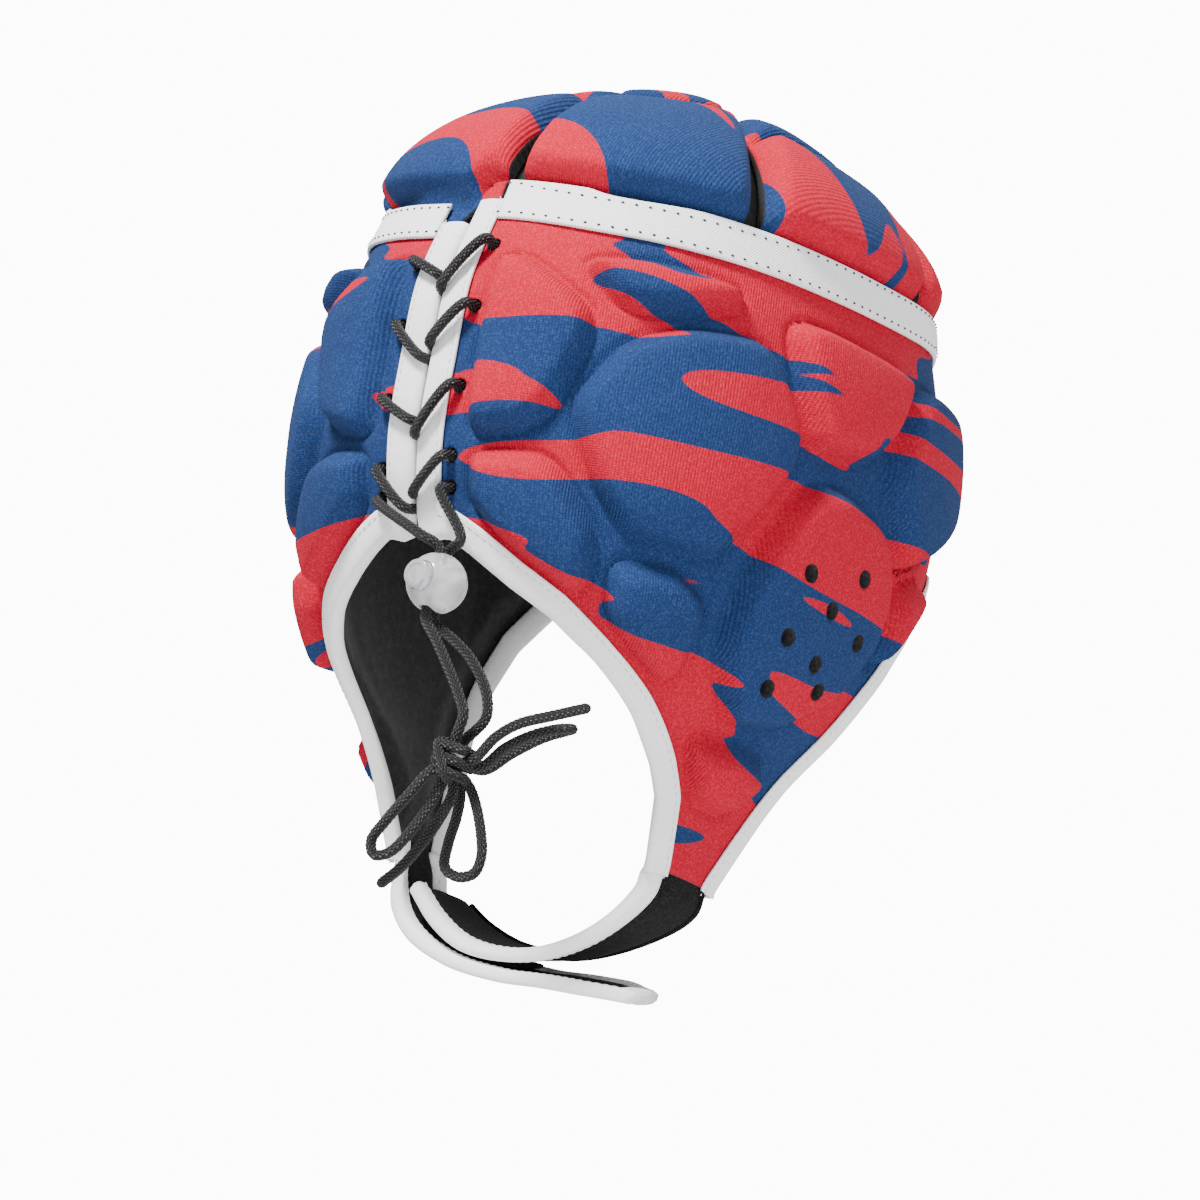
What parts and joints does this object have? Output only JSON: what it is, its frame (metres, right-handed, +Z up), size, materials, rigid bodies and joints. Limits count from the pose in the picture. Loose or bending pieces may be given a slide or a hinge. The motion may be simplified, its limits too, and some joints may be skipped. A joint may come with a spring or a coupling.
{
  "type": "rugby scrum cap",
  "caption": "Padded cloth head guard with ear cups, a laced back, edge tape and a hook-and-loop chin strap.",
  "frame": {"origin": "top of the head hollow, on the lining's inner face under the crown's middle", "axes": "+Z up, -Y toward the face, +Y toward the laces, -X toward the wearer's right"},
  "size_m": [0.1731, 0.2019, 0.2666],
  "materials": {
    "crown_cloth": "knitted cloth, red and blue camouflage",
    "side_cloth": "knitted cloth, red and blue camouflage",
    "lining": "matt black knit",
    "tape": "white woven tape",
    "strap_loop": "black loop fabric",
    "cord": "black round braid",
    "clear_plastic": "clear, slightly frosted"
  },
  "bodies": {
    "cap": {"crown_shell": "crown_cloth", "crown_lining": "lining", "crown_band": "tape", "side_shell_right": "side_cloth", "side_lining_right": "lining", "nape_binding_right": "tape", "side_shell_left": "side_cloth", "side_lining_left": "lining", "nape_binding_left": "tape", "face_binding": "tape", "chin_strap_right": "strap_loop", "chin_strap_right_trim_back": "tape", "chin_strap_right_trim_front": "tape", "chin_strap_left": "strap_loop", "chin_strap_left_trim_back": "tape", "chin_strap_left_trim_front": "tape", "hook_patch": "strap_loop", "lace": "cord", "cord_lock": "clear_plastic", "lace_knot": "cord", "lace_hang_left": "cord", "lace_hang_right": "cord", "lace_tail_long": "cord", "lace_tail_low": "cord", "lace_bow_loop": "cord", "lace_loop_left": "cord", "lace_loop_right": "cord"},
    "button": {"cord_lock_button": "clear_plastic"}
  },
  "joints": [
    {"name": "button_press", "type": "slide", "parent": "cap", "child": "button", "axis": [0, -1, 0], "range_m": [0, 0.002], "stiffness_N_per_m": 400}
  ]
}
